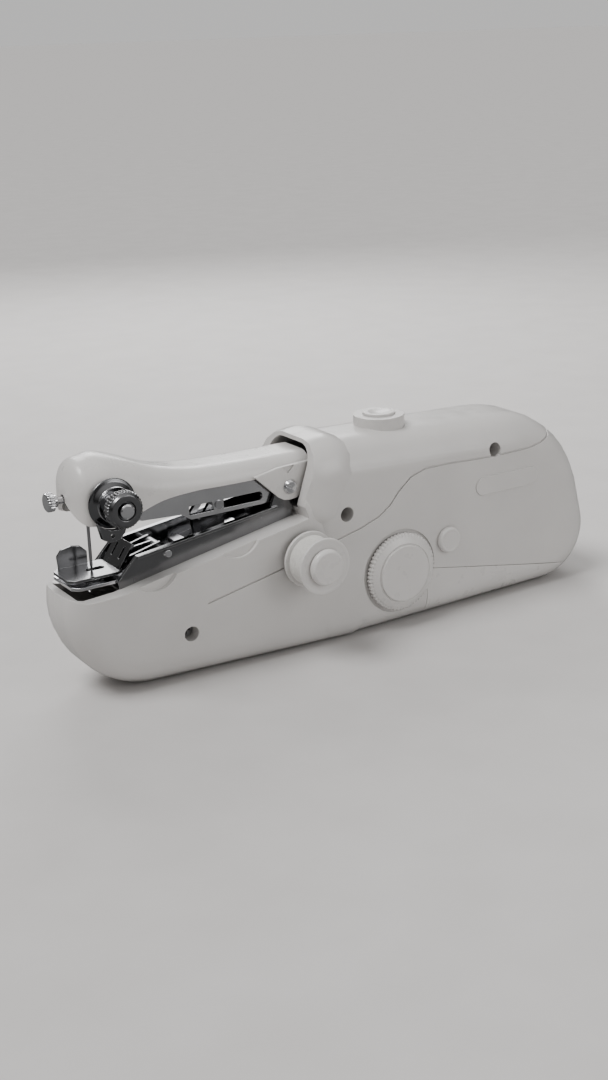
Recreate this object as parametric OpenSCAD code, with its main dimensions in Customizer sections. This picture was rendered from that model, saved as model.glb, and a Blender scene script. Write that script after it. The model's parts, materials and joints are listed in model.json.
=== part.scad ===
// Hand-held battery sewing machine. It rests on its flat underside, needle end toward -X,
// hand wheel and bobbin toward -Y. Millimetres. The origin is on the resting face at mid length.

/* [Housing] */
// Half of the housing width
half_width = 17.5; // [17.3:0.1:18]
// Wall thickness of the moulded shells
wall = 2.2; // [1.8:0.1:2.3]
// Radius that rounds the shoulders of the rear body
shoulder_radius = 12; // [11:0.5:12.5]
// Radius that softens the lower edges of the shells
edge_radius = 7; // [6:0.5:7.5]
// Radius of the switch boss on the top
boss_radius = 8.7; // [8.2:0.1:9.4]
// Height of the top of the switch boss above the resting face
boss_top = 70.6; // [70.2:0.1:71.6]
// Width of the seams drawn into the shells
seam_width = 0.6; // [0.3:0.1:0.9]

/* [Hand wheel] */
// Outer radius of the hand wheel
wheel_radius = 13.6; // [12:0.1:14.5]
// Radius of the raised smooth face
wheel_face_radius = 9.8; // [8:0.1:10.5]
// Number of grip teeth around the rim
wheel_teeth = 60; // [30:2:72]

/* [Bobbin] */
// Radius of the bobbin flanges
bobbin_radius = 9.3; // [7.5:0.1:10]
// Width of the bobbin over its flanges
bobbin_width = 10; // [8:0.5:11]
// Radius of the bobbin cap
bobbin_cap_radius = 6; // [5:0.1:7]

/* [Arm and needle] */
// Radius of the pin the needle arm swings on
pivot_radius = 1.5; // [1.3:0.1:1.7]
// Radius of the needle blade
needle_radius = 0.5; // [0.4:0.05:0.6]
// Radius of the thumb screw head
thumb_radius = 3; // [2.6:0.1:3.4]

/* [Thread tension] */
// Radius of the dished base of the tension set
tension_base_radius = 7.8; // [7.2:0.1:8.4]
// Radius of the tension nut
tension_nut_radius = 5.9; // [5:0.1:6.4]
// Grip teeth around the tension nut
tension_nut_teeth = 24; // [16:2:30]

/* [Lower jaw] */
// Thickness of the pressed steel
sheet = 1.2; // [1:0.1:1.3]
// Thickness of the presser foot sole
sole_thickness = 0.9; // [0.7:0.1:1]

/* [Gears] */
// Gear module
gear_module = 0.6;
// Teeth of the motor pinion and of the small reduction pinion
pinion_teeth = 10;
// Teeth of the large reduction gear
reduction_teeth = 32;
// Teeth of the gear on the main shaft
main_teeth = 36;

/* [Hidden] */
$fn = 48;
eps = 0.01;
fit = 0.05;        // radial clearance of a running fit
clear = 30;        // how far a cut reaches past the middle plane
seam_depth = 0.45;

// Rear body, drawn as two discs that blend into each other
rear_x = 60;  rear_z = 26;  rear_r = 39.5;
heel_x = 80.5;  heel_z = 19.5;  heel_r = 19.5;  heel_edge = 9;
// Front corners of the body, and the collar that stands proud of them
body_front_x = -14;  body_front_top = 68;  body_front_r = 13;  body_toe_r = 8;
collar_top = 69.8;  collar_r = 13;  collar_proud = 0.5;
collar_rear_x = -11;  collar_front_x = -15;  collar_front_drop = 0.6;
collar_foot_x = -16;  collar_foot_z = 48;  collar_foot_r = 9;
// Lower jaw: nose, throat and root discs
jaw_x = -76;  jaw_z = 28.7;  jaw_r = 28.7;  jaw_half = 14;  jaw_edge = 9.5;
throat_x = -30;  throat_z = 40;  throat_r = 16;  throat_edge = 6;
root_x = -6;  root_z = 10;  root_r = 10;
seat_x = -89;  seat_z = 33.8;  seat_slope = 10.2;
nose_rim_z = 35.3;
// Cavity under the needle plate, and the slot that the looper reaches down through (along the seat)
cavity_x = [-101, -85.6];  cavity_half = 9.4;
looper_slot = [16.6, 26.6];  looper_slot_half = 3;
// Crescent scallops: along the seat, above it, and how near to the middle plane the cut reaches
scallop_at = [[12.8, 5.2, 14.1], [42, 5.2, 15.9]];  scallop_r = 8.3;
// Raised pad on the side
pad_at = [59.5, 43];  pad_length = 21;  pad_r = 3.2;  pad_proud = 0.4;
// Outline of the battery cover: front and rear edges, and the height of the parting line at each
cover_x = [24.5, 91];  cover_z = [18.3, 5.8];

// Drive positions (x, z)
wheel_x = 13;  wheel_z = 20;
gear_r_pinion = gear_module * pinion_teeth / 2;
gear_r_reduction = gear_module * reduction_teeth / 2;
gear_r_main = gear_module * main_teeth / 2;
train_angle = 75;  motor_angle = 60;
red_x = wheel_x + (gear_r_main + gear_r_pinion) * cos(train_angle);
red_z = wheel_z + (gear_r_main + gear_r_pinion) * sin(train_angle);
motor_x = red_x + (gear_r_reduction + gear_r_pinion) * cos(motor_angle);
motor_z = red_z + (gear_r_reduction + gear_r_pinion) * sin(motor_angle);
shaft_r = 2;  bush_r = 3.6;  axle_r = 1;  axle_y = -14.5;  axle_boss_r = 3;  axle_boss_y = 12;
crank_r = 2.39;  crank_disc_r = 6.5;  link_pin_r = 1.2;  crank_pin_r = 1.2;
gear_y0 = -8;  gear_y1 = -5;  gear2_y0 = -11.5;  gear2_y1 = -9;
frame_y0 = -4.6;  frame_y1 = -3.4;
post_at = [[-1.2, 23], [29.5, 17], [12.2, 49]];
motor_r = 9.8;  motor_flat = 7.5;  motor_end = 13.3;  motor_shaft_r = 1;  motor_nose_r = 3;
post_r = 2;  cradle_z = [46, 51];
crank_y0 = -3;  crank_y1 = -1;  crank_pin_end = 0.8;  link_y0 = 1.1;  link_y1 = 2.6;
bush_end = -12.2;
inner_y = half_width - wall;

// Arm
pivot_x = -25.4;  pivot_z = 55.6;
link_x = 5;  link_z = 55;
cam_x = -50;  cam_z = 53.7;  cam_r = 1.1;
needle_x = -91.5;
lever_in = 6.8;  lever_out = lever_in + sheet;
tension_x = -88;  tension_z = 62.5;  stud_r = 1.5;
thumb_z = 63;

// Jaw parts
channel_in = 8.6;  channel_out = channel_in + sheet;
presser_x = -69.9;  presser_z = 42.3;  presser_pin_r = 1.2;
plate_z = 36;  plate_t = 1;  plate_front_x = -101.5;
sole_z = 38.1;

// Bobbin, cap, boss, screws
bobbin_x = -24.4;  bobbin_z = 33.2;  spindle_r = 1.6;  hub_r = 4;
bobbin_y = -19.2;  flange_t = 1.1;  spindle_end = -10;  spindle_boss_r = 3.6;  spindle_boss_y = 9;
jack_x = 33.5;  jack_z = 27;  jack_r = 3.8;  jack_cap_r = 4.5;  plug_r = 2.7;
boss_x = 17.7;  boss_h = 9;  button_r = 5.4;  button_flange_r = 6.5;  button_well = 12;  button_stem_r = 1.5;
screw_at = [[54.4, 55, 15.5], [-7.8, 44.2, 15.8], [-66, 16, 14.2]];  // x, z and how deep the boss reaches
screw_r = 1.25;  screw_head_r = 2.3;  screw_head_h = 1.6;  screw_recess_r = 2.5;
screw_boss_r = 3.9;  screw_head_y = -9.5;

channel_screw_at = [[8, 6.6], [58, 4.5]];  channel_screw_r = 0.9;  channel_screw_boss_r = 2.2;
channel_screw_depth = 6.2;
frame_screw_r = 0.9;
boss_lid = 4.4;  switch_top = 61.1;  switch_h = 6.6;  switch_half_y = 4;
button_flange_z = boss_top - boss_lid - 1.4;

// Batteries
cell_r = 7.25;  cell_x0 = 40.5;  cell_x1 = 91;  nub = 1.5;  cell_z = [14.5, 29];
contact_t = 0.5;  rib_t = 1.5;  rear_rib_reach = 14.8;

// ---------------------------------------------------------------- helpers

// Extrudes an outline drawn in x and z from y0 to y1.
module side(y0, y1) { translate([0, y1, 0]) rotate([90, 0, 0]) linear_extrude(height = y1 - y0) children(); }

// Cylinder along Y.
module rod(x, z, r, y0, y1) { translate([x, y0, z]) rotate([-90, 0, 0]) cylinder(r = r, h = y1 - y0); }

// Cone along Y, radius ra at y0 and rb at y1.
module cone(x, z, ra, rb, y0, y1) {
    translate([x, y0, z]) rotate([-90, 0, 0]) cylinder(r1 = ra, r2 = rb, h = y1 - y0);
}

// Box given by its two corners.
module block(a, b) { translate(a) cube(b - a); }

// Half of a round-edged disc with its axis along Y, on side s of the middle plane. With `span` 180
// only its upper half is made.
module puck(x, z, r, half, edge, s, span = 360) {
    steps = 4;
    translate([x, 0, z]) rotate([s > 0 ? -90 : 90, 0, 0])
        rotate_extrude(angle = s > 0 ? -span : span, $fn = 40)
        polygon(concat([[0, 0], [r, 0]],
            [for (i = [0:steps]) let (a = 90 * i / steps)
                [r - edge + edge * cos(a), half - edge + edge * sin(a)]],
            [[0, half]]));
}

// The frame of the steel channel: x runs along the seat of the jaw toward the rear, z stands on it.
module on_seat() { translate([seat_x, 0, seat_z]) rotate([0, -seat_slope, 0]) children(); }

// Spur gear along Y with a tooth centred on direction `toward` (degrees up from +X).
module spur(x, z, teeth, y0, y1, toward, bore) {
    r = gear_module * teeth / 2;
    root = r - 1.15 * gear_module;
    tip = r + 0.85 * gear_module;
    pitch = 360 / teeth;
    side(y0, y1) translate([x, z]) difference() {
        polygon([for (i = [0:teeth - 1]) for (k = [[root, -0.31], [r, -0.19], [tip, -0.09],
            [tip, 0.09], [r, 0.19], [root, 0.31]])
            let (a = toward + pitch * (i + k[1])) [k[0] * cos(a), k[0] * sin(a)]]);
        circle(r = bore);
    }
}

// Disc along Y with small grip teeth on its rim.
module grip(x, z, r, teeth, depth, y0, y1) {
    side(y0, y1) translate([x, z]) polygon([for (i = [0:2 * teeth - 1])
        let (a = 180 * i / teeth, q = i % 2 == 0 ? r : r - depth) [q * cos(a), q * sin(a)]]);
}

// ---------------------------------------------------------------- housing form

// One half of the rear body, moved inward by t.
module body_half(t, s) {
    half = half_width - t;
    hull() {
        puck(rear_x, rear_z, rear_r - t, half, shoulder_radius - t, s, 180);
        puck(heel_x, heel_z, heel_r - t, half, heel_edge - t, s);
        puck(body_front_x, body_front_top - body_front_r, body_front_r - t, half, shoulder_radius - t, s);
        puck(body_front_x, body_toe_r, body_toe_r - t, half, edge_radius - t, s);
    }
}

// One half of the raised collar round the arm opening.
module collar_half(s) {
    half = half_width + collar_proud;
    hull() {
        puck(collar_front_x, collar_top - collar_r - collar_front_drop, collar_r, half, shoulder_radius, s);
        puck(collar_rear_x, collar_top - collar_r, collar_r, half, shoulder_radius, s);
        puck(collar_foot_x, collar_foot_z, collar_foot_r, half, edge_radius, s);
    }
}

// One half of the lower jaw, moved inward by t.
module jaw_half_form(t, s) {
    hull() {
        puck(jaw_x, jaw_z, jaw_r - t, jaw_half - t, jaw_edge - t, s);
        puck(throat_x, throat_z, throat_r - t, half_width - t, throat_edge - t, s);
        puck(root_x, root_z, root_r - t, half_width - t, throat_edge - t, s);
    }
}

// Height of the seat line at a given x, lowered by t.
function seat_at(x, t = 0) = seat_z + (x - seat_x) * tan(seat_slope) - t / cos(seat_slope);

// Side view of everything above the jaw seat and ahead of the collar.
module above_jaw(t) {
    polygon([[-115, nose_rim_z - t], [-108, nose_rim_z - t], [-99, 33.2 - t], [seat_x, seat_z - t],
        [-22.5 + t, seat_at(-22.5 + t, t)], [-23.6 + t, 49.5], [-17 + t, 68.5], [-17 + t, 90], [-115, 90]]);
}

// One moulded half with its walls, before its fittings are cut.
module shell(s) {
    difference() {
        union() {
            body_half(0, s);
            jaw_half_form(0, s);
            collar_half(s);
            intersection() {
                translate([boss_x, 0, boss_top - boss_h]) cylinder(r = boss_radius, h = boss_h);
                half_space(s);
            }
        }
        side(-clear, clear) above_jaw(0);
        difference() {
            union() {
                body_half(wall, s);
                jaw_half_form(wall, s);
            }
            side(-clear, clear) above_jaw(wall);
            // The boss wall stays where it hangs inside the roof.
            translate([boss_x, 0, boss_top - boss_h]) cylinder(r = boss_radius, h = boss_h);
        }
    }
}

module half_space(s) { block([-130, s > 0 ? 0 : -40, -10], [130, s > 0 ? 40 : 0, 100]); }

// Rib standing in from the side wall on side s, to y_in from the middle plane.
module rib(s, x0, x1, z0, z1, y_in, reach = inner_y + 0.5) {
    block([x0, s > 0 ? y_in : -reach, z0], [x1, s > 0 ? reach : -y_in, z1]);
}

// Round boss standing in from the side wall on side s.
module boss(s, x, z, r, y_in, reach = inner_y + 0.5) {
    rod(x, z, r, s > 0 ? y_in : -reach, s > 0 ? reach : -y_in);
}

// Where the battery cover takes over from the shells, seen from the side; c is a clearance all round.
module cover_region(c) {
    polygon([[cover_x[0] + c, -5], [cover_x[0] + c, cover_z[0] - c], [cover_x[1] - c, cover_z[1] - c],
        [cover_x[1] - c, -5]]);
}

// Opening that the arm swings in, seen along X.
module arm_opening() {
    half = 12.1;  r = 6.6;  top = 67.7;  sill = 48.2;  front = -32;  depth = 22;
    translate([front, 0, 0]) rotate([90, 0, 90]) linear_extrude(height = depth) union() {
        translate([-half, sill]) square([2 * half, top - r - sill]);
        translate([-half + r, top - r - eps]) square([2 * (half - r), r + eps]);
        translate([-half + r, top - r]) circle(r = r);
        translate([half - r, top - r]) circle(r = r);
    }
}

// Line of the two-level panel on the side of the shells.
panel_line = [[-60, 25.1], [-33.9, 31], [-11, 36.6], [-2.1, 38.6], [5, 41.1], [9.4, 44], [13.1, 48.2],
    [18.3, 52.3], [24.3, 54], [33.4, 54], [45.7, 53.3], [58.5, 53], [70.6, 53.2], [78.9, 54.4], [85.7, 57],
    [88.5, 58.8]];

// Strip of the given width along a line of points.
module strip(line, width) {
    n = len(line) - 1;
    function along(i) = line[min(i + 1, n)] - line[max(i - 1, 0)];
    function normal(i) = [-along(i)[1], along(i)[0]] / norm(along(i));
    polygon(concat([for (i = [0:n]) line[i] + normal(i) * width / 2],
        [for (i = [n:-1:0]) line[i] - normal(i) * width / 2]));
}

// Groove of that line, cut to one depth all along the rounded side.
module panel_seam(s) difference() {
    side(s > 0 ? 8 : -clear, s > 0 ? clear : -8) strip(panel_line, seam_width);
    body_half(seam_depth, s);
    jaw_half_form(seam_depth, s);
}

module housing(s) {
    difference() {
        union() {
            shell(s);
            for (p = screw_at) boss(s, p[0], p[1], screw_boss_r, 0, p[2]);
            // Fittings of the channel, one of each pair in either shell
            on_seat() for (p = channel_screw_at)
                translate([p[0], s * p[1], -channel_screw_depth - 0.3])
                    cylinder(r = channel_screw_boss_r, h = 5.5);
            // Ledge that carries the switch
            rib(s, boss_x - 4.7, boss_x + 4.3, 56, 59, switch_half_y);
            // Bulkheads at both ends of the cells and a shelf over them
            rib(s, cell_x0 - nub - contact_t - rib_t, cell_x0 - nub - contact_t, 18, 32.5, 1);
            rib(s, cell_x1 + nub + contact_t, cell_x1 + nub + contact_t + rib_t, 14, 29, 1, rear_rib_reach);
            rib(s, 44, 86, 36.6, 37.8, 6);
            if (s < 0) {
                boss(s, wheel_x, wheel_z, bush_r + 2, -bush_end);
                boss(s, red_x, red_z, axle_boss_r, axle_boss_y);
                boss(s, bobbin_x, bobbin_z, spindle_boss_r, spindle_boss_y);
                for (p = post_at) boss(s, p[0], p[1], post_r, -frame_y0);
                side(-half_width - pad_proud, -half_width + 0.3) side_pad();
            } else {
                // Cradle that steadies the motor
                for (x = [motor_x - motor_flat - 2, motor_x + motor_flat])
                    rib(s, x, x + 2, cradle_z[0], cradle_z[1], 3);
                rib(s, motor_x - 5, motor_x + 5, cradle_z[1] - 1, cradle_z[1] + 1, motor_end);
            }
        }
        arm_opening();
        // Front cavity under the needle plate
        block([cavity_x[0], -cavity_half, 20], [cavity_x[1], cavity_half, 60]);
        on_seat() block([looper_slot[0], -looper_slot_half, -5], [looper_slot[1], looper_slot_half, 1]);
        on_seat() for (p = channel_screw_at)
            translate([p[0], s * p[1], -channel_screw_depth]) cylinder(r = channel_screw_r, h = 7);
        for (p = screw_at) rod(p[0], p[1], s < 0 ? screw_r + fit : screw_r, -clear, 9);
        translate([boss_x, 0, boss_top - button_well]) {
            cylinder(r = button_r + 0.1, h = button_well + 2);
            cylinder(r = button_flange_r + 0.3, h = button_well - boss_lid);
        }
        side(-clear, clear) cover_region(0);
        if (s < 0) {
            for (p = screw_at) rod(p[0], p[1], screw_recess_r, -clear, screw_head_y);
            rod(wheel_x, wheel_z, bush_r, -clear, 0);
            rod(wheel_x, wheel_z, wheel_radius + 1, -clear, -half_width + 0.5);
            rod(red_x, red_z, axle_r, axle_y, 0);
            rod(bobbin_x, bobbin_z, spindle_r, -clear, spindle_end);
            for (p = post_at) rod(p[0], p[1], frame_screw_r, -12, 0);
            rod(jack_x, jack_z, jack_r, -clear, 0);
            // Crescent scallops below the channel
            on_seat() for (p = scallop_at) side(-clear, -p[2]) translate([p[0], p[1]]) circle(r = scallop_r);
        }
        panel_seam(s);
    }
}

// Outline of the raised pad.
module side_pad() translate(pad_at) {
    translate([-pad_length / 2, -pad_r]) square([pad_length, 2 * pad_r]);
    for (x = [-pad_length / 2, pad_length / 2]) translate([x, 0]) circle(r = pad_r);
}

// ---------------------------------------------------------------- housing nodes

module left_housing() color("Gainsboro") housing(-1);
module right_housing() color("Gainsboro") housing(1);

module battery_cover() color("WhiteSmoke") {
    intersection() {
        difference() {
            union() { body_half(0, -1); body_half(0, 1); }
            union() { body_half(wall, -1); body_half(wall, 1); }
        }
        side(-clear, clear) cover_region(0.15);
    }
}

module housing_screws() color("DimGray") for (p = screw_at) difference() {
    union() {
        rod(p[0], p[1], screw_head_r, screw_head_y - screw_head_h, screw_head_y);
        rod(p[0], p[1], screw_r, screw_head_y - eps, 8);
    }
    for (turn = [0, 90]) translate([p[0], 0, p[1]]) rotate([0, turn, 0])
        block([-1.6, screw_head_y - 2, -0.3], [1.6, screw_head_y - 0.8, 0.3]);
}

module power_button() color("WhiteSmoke") difference() {
    union() {
        translate([boss_x, 0, boss_top - boss_lid - 0.1]) cylinder(r = button_r, h = boss_lid + 0.9);
        translate([boss_x, 0, button_flange_z]) cylinder(r = button_flange_r, h = 1.3);
        translate([boss_x, 0, button_flange_z - 1.95]) cylinder(r = button_stem_r, h = 2);
    }
    // Dished finger face with a raised ring left round it
    translate([boss_x, 0, boss_top + 0.8 + 11.4]) sphere(r = 12);
}

// Coil spring along z: a six-sided wire of radius `wire` wound at radius r, from z 0 to h.
module coil(r, wire, h, turns) {
    per_turn = 14;  sides = 6;
    n = per_turn * turns;
    rise = (h - 2 * wire) / n;
    points = [for (i = [0:n]) for (k = [0:sides - 1])
        let (a = 360 * i / per_turn, b = 360 * k / sides, q = r + wire * cos(b))
        [q * cos(a), q * sin(a), wire + rise * i + wire * sin(b)]];
    walls = [for (i = [0:n - 1]) for (k = [0:sides - 1])
        let (a = i * sides + k, b = i * sides + (k + 1) % sides)
        each [[a, b, b + sides], [a, b + sides, a + sides]]];
    polyhedron(points = points, faces = concat(walls,
        [[for (k = [sides - 1:-1:0]) k], [for (k = [0:sides - 1]) n * sides + k]]));
}

module button_spring() color("Silver")
    translate([boss_x, 0, switch_top]) coil(3.2, 0.3, button_flange_z - switch_top, 3);

module switch_body() color("DarkSlateGray") {
    block([boss_x - 6, -switch_half_y, switch_top - switch_h], [boss_x + 6, switch_half_y, switch_top]);
    translate([boss_x, 0, switch_top - eps]) cylinder(r = 1.3, h = 0.15);
    for (y = [-2.4, 2.4]) block([boss_x + 6 - eps, y - 0.9, 57], [boss_x + 8.4, y + 0.9, 57.6]);
}

module adapter_jack() color("DimGray") {
    difference() {
        rod(jack_x, jack_z, jack_r, -half_width + 0.3, -7);
        rod(jack_x, jack_z, plug_r + fit, -clear, -9);
    }
    rod(jack_x, jack_z, 0.8, -13.5, -8);
}

module jack_cap() color("WhiteSmoke") {
    cone(jack_x, jack_z, jack_cap_r - 0.5, jack_cap_r, -half_width - 1.9, -half_width - 1.4);
    rod(jack_x, jack_z, jack_cap_r, -half_width - 1.4, -half_width - 0.05);
    rod(jack_x, jack_z, plug_r, -half_width - 0.1, -14.2);
}

// ---------------------------------------------------------------- power

module batteries() color("SteelBlue") for (y = [-cell_r, cell_r]) for (k = [0, 1]) {
    front = k == 0;
    translate([cell_x0, y, cell_z[k]]) rotate([0, 90, 0]) cylinder(r = cell_r - 0.05, h = cell_x1 - cell_x0);
    translate([front ? cell_x0 - nub : cell_x1 - eps, y, cell_z[k]]) rotate([0, 90, 0])
        cylinder(r = 2.7, h = nub + eps);
}

module battery_contacts() color("Silver") for (s = [-1, 1]) {
    near = s > 0 ? 1.2 : -12.4;
    far = s > 0 ? 12.4 : -1.2;
    block([cell_x0 - nub - contact_t, near, 19.5], [cell_x0 - nub, far, 34.5]);
    block([cell_x0 - nub - contact_t, near + 3, 10], [cell_x0 - nub, far - 3, 19.6]);
    block([cell_x1 + nub, near, 12], [cell_x1 + nub + contact_t, far, 32]);
}

module battery_springs() color("Silver") for (y = [-cell_r, cell_r]) for (k = [0, 1])
    translate([k == 1 ? cell_x0 - nub : cell_x1, y, cell_z[k]]) rotate([0, 90, 0]) coil(2.8, 0.25, nub, 2);

module cable(points, r) {
    for (i = [0:len(points) - 2]) {
        a = points[i];
        d = points[i + 1] - a;
        translate(a) rotate([0, acos(d[2] / norm(d)), atan2(d[1], d[0])])
            cylinder(r = r, h = norm(d), $fn = 24);
        if (i > 0) translate(a) sphere(r = r * 1.12, $fn = 24);
    }
}

module wires() color("Firebrick") {
    cable([[37.8, 8, 33.8], [36.6, 8, 38.5], [36.4, 7, 50], [33.5, 3, 57.3], [26.8, 2.4, 57.3]], 0.6);
    cable([[26.8, -2.4, 57.3], [34.4, -2.4, 56.8], [35, 9, 52], [34.6, 13.9, 44], [27.6, 13.9, 42.2]], 0.6);
    cable([[37.8, -8, 33.8], [35.6, -6, 37.6], [34.6, 4, 40.2], [34, 13.9, 39.4], [27.6, 13.9, 39.2]], 0.6);
}

// ---------------------------------------------------------------- drive

module motor_body() color("Silver") difference() {
    union() {
        intersection() {
            rod(motor_x, motor_z, motor_r, frame_y1, motor_end);
            block([motor_x - motor_flat, -20, 0], [motor_x + motor_flat, 20, 80]);
        }
        rod(motor_x, motor_z, motor_nose_r, frame_y0, frame_y1 + eps);
        for (dz = [-5, -2]) block([motor_x + 3.4, motor_end - 0.2, motor_z + dz - 0.8],
            [motor_x + 4, motor_end + 1.4, motor_z + dz + 0.8]);
    }
    rod(motor_x, motor_z, motor_shaft_r + fit, -clear, motor_end - 1.5);
}

module motor_shaft() color("LightGray") rod(motor_x, motor_z, motor_shaft_r, gear2_y0, motor_end - 2);

module motor_pinion() color("Goldenrod") spur(motor_x, motor_z, pinion_teeth, gear2_y0, gear2_y1,
    180 + motor_angle, motor_shaft_r);

// The large gear shows the motor pinion a gap while the small one shows the main gear a gap.
module reduction_gear() color("Ivory") {
    spur(red_x, red_z, reduction_teeth, gear2_y0, gear2_y1, motor_angle + 180 / reduction_teeth,
        axle_r + fit);
    spur(red_x, red_z, pinion_teeth, gear_y0, gear_y1, 180 + train_angle + 180 / pinion_teeth, axle_r + fit);
    difference() {
        rod(red_x, red_z, 2, gear2_y1 - eps, gear_y0 + eps);
        rod(red_x, red_z, axle_r + fit, gear2_y1 - 1, gear_y0 + 1);
    }
}

module gear_axle() color("LightGray") rod(red_x, red_z, axle_r, axle_y, frame_y1);

module main_gear() color("Ivory") {
    spur(wheel_x, wheel_z, main_teeth, gear_y0, gear_y1, train_angle, shaft_r);
    difference() {
        rod(wheel_x, wheel_z, 3.3, gear_y0 - 3.8, gear_y0 + eps);
        rod(wheel_x, wheel_z, shaft_r, gear_y0 - 5, 0);
    }
}

module drive_shaft() color("LightGray") rod(wheel_x, wheel_z, shaft_r, -half_width - 2.6, crank_y0);

module shaft_bush() color("Peru") difference() {
    rod(wheel_x, wheel_z, bush_r, -half_width + 0.5, bush_end);
    rod(wheel_x, wheel_z, shaft_r + fit, -clear, 0);
}

module gear_frame() color("DarkGray") difference() {
    side(frame_y0, frame_y1) polygon([[-4.2, 20], [-4.2, 26], [4, 32], [9.4, 46], [9.4, 51.5], [31, 51.5],
        [31, 38], [32.4, 19], [32.4, 14], [26.5, 14], [20, 9.5], [6, 9.5]]);
    rod(wheel_x, wheel_z, shaft_r + fit, -clear, 0);
    rod(red_x, red_z, axle_r, -clear, 0);
    rod(motor_x, motor_z, motor_nose_r, -clear, 0);
    for (p = post_at) rod(p[0], p[1], frame_screw_r, -clear, 0);
}

module frame_screws() color("DimGray") for (p = post_at) {
    rod(p[0], p[1], 1.8, frame_y1, frame_y1 + 1.1);
    rod(p[0], p[1], frame_screw_r, -11, frame_y1 + eps);
}

module crank_disc() color("LightGray") {
    rod(wheel_x, wheel_z, crank_disc_r, crank_y0, crank_y1);
    rod(wheel_x, wheel_z - crank_r, crank_pin_r, crank_y1 - eps, crank_pin_end);
}

module hand_wheel() color("WhiteSmoke") difference() {
    union() {
        grip(wheel_x, wheel_z, wheel_radius, wheel_teeth, 0.45, -half_width - 1.6, -half_width);
        cone(wheel_x, wheel_z, wheel_face_radius + 0.4, wheel_radius - 0.6, -half_width - 3.2,
            -half_width - 1.6 + eps);
        rod(wheel_x, wheel_z, wheel_face_radius, -half_width - 3.6, -half_width - 3.2 + eps);
    }
    rod(wheel_x, wheel_z, shaft_r, -half_width - 2.6, 0);
    // Hollow back of the wheel
    difference() {
        rod(wheel_x, wheel_z, wheel_face_radius - 1.2, -half_width - 1.8, 0);
        rod(wheel_x, wheel_z, 4, -half_width - 3, 1);
    }
}

module connecting_link() color("Silver") difference() {
    union() {
        side(link_y0, link_y1) {
            translate([link_x, link_z]) circle(r = 2.2);
            translate([wheel_x, wheel_z - crank_r]) circle(r = 2.6);
            polygon([[link_x - 1.7, link_z - 0.4], [link_x + 1.7, link_z + 0.4],
                [wheel_x + 1.7, wheel_z - crank_r + 0.4], [wheel_x - 1.7, wheel_z - crank_r - 0.4]]);
        }
        rod(link_x, link_z, 2, link_y0 - 3.6, link_y1 + 2);
    }
    rod(link_x, link_z, link_pin_r + fit, -10, 10);
    rod(wheel_x, wheel_z - crank_r, crank_pin_r + fit, -10, 10);
}

// ---------------------------------------------------------------- needle arm

// Cross-section of the arm cover at x, as a thin plate: half width, top, bottom and top corner radius.
module arch(x, half, top, bottom, r) {
    steps = 8;
    corner = [for (i = [0:steps]) let (a = 90 * i / steps) [half - r + r * cos(a), top - r + r * sin(a)]];
    start = max(bottom, top - r);
    translate([x, 0, 0]) rotate([90, 0, 90]) linear_extrude(height = eps) polygon(concat([[half, bottom]],
        [for (p = corner) if (p[1] >= start) p], [for (i = [steps:-1:0]) if (corner[i][1] >= start)
        [-corner[i][0], corner[i][1]]], [[-half, bottom]]));
}

cover_sections = [
    [-99, 4.5, 68.3, 60.4, 4], [-97.6, 8, 71.8, 58, 7], [-94, 10.3, 75, 56, 9.4], [-88, 11, 75.9, 55.2, 10],
    [-80, 10.8, 73.3, 57, 9], [-70, 10.2, 69.3, 59.6, 7.2], [-58, 10, 66.8, 60.4, 5.5],
    [-40, 10, 65.8, 60.4, 5.5], [-16.6, 10, 65.5, 60.4, 5.5]];

// Hull over sections a to b, moved inward by t and opened below.
module cover_run(a, b, t) {
    hull() for (i = [a:b]) let (c = cover_sections[i])
        arch(c[0] + (i == 0 ? t : 0), c[1] - t, c[2] - t, c[3] - (t > 0 ? 6 : 0), c[4] - t);
}

ear_outline = [[-38.4, 61], [-29.4, 52.5], [-26, 51.2], [-21.5, 52.2], [-16, 60.4], [-16, 63.2], [-30, 62.6]];

module arm_cover() color("WhiteSmoke") {
    t = 1.5;
    difference() {
        union() {
            cover_run(0, 4, 0);
            cover_run(4, 5, 0);
            cover_run(5, 6, 0);
            cover_run(6, 8, 0);
            for (s = [-1, 1]) {
                side(s > 0 ? 10.1 : -11.2, s > 0 ? 11.2 : -10.1) polygon(ear_outline);
                intersection() {
                    side(s > 0 ? 9.2 : -10.6, s > 0 ? 10.6 : -9.2) polygon(ear_outline);
                    block([-60, -20, 60.8], [0, 20, 80]);
                }
            }
        }
        cover_run(0, 4, t);
        cover_run(4, 6, t);
        cover_run(6, 8, t);
        block([-17.2, -8.4, 50], [-10, 8.4, 64]);
        rod(pivot_x, pivot_z, pivot_radius + fit, -clear, clear);
        rod(tension_x, tension_z, stud_r, -clear, 0);
        translate([-110, 0, thumb_z]) rotate([0, 90, 0]) cylinder(r = 1.6, h = 14);
        // Small three-cornered notch above the pivot
        side(-20, -10.8) polygon([[-28.2, 62.4], [-23.6, 62.6], [-26, 60.2]]);
    }
}

lever_top = [[-94.6, 66], [-82, 66], [-72, 63.4], [-62, 62.3], [-30, 61.2], [-12, 60.4], [8.2, 58.7]];
lever_bottom = [[8.2, 52.7], [-14, 52.5], [-20.5, 51.6], [-31, 51.2], [-34, 50.7], [-60, 50.7], [-63.5, 53],
    [-77, 53.8], [-84, 56.6], [-94.6, 57.6]];

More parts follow.
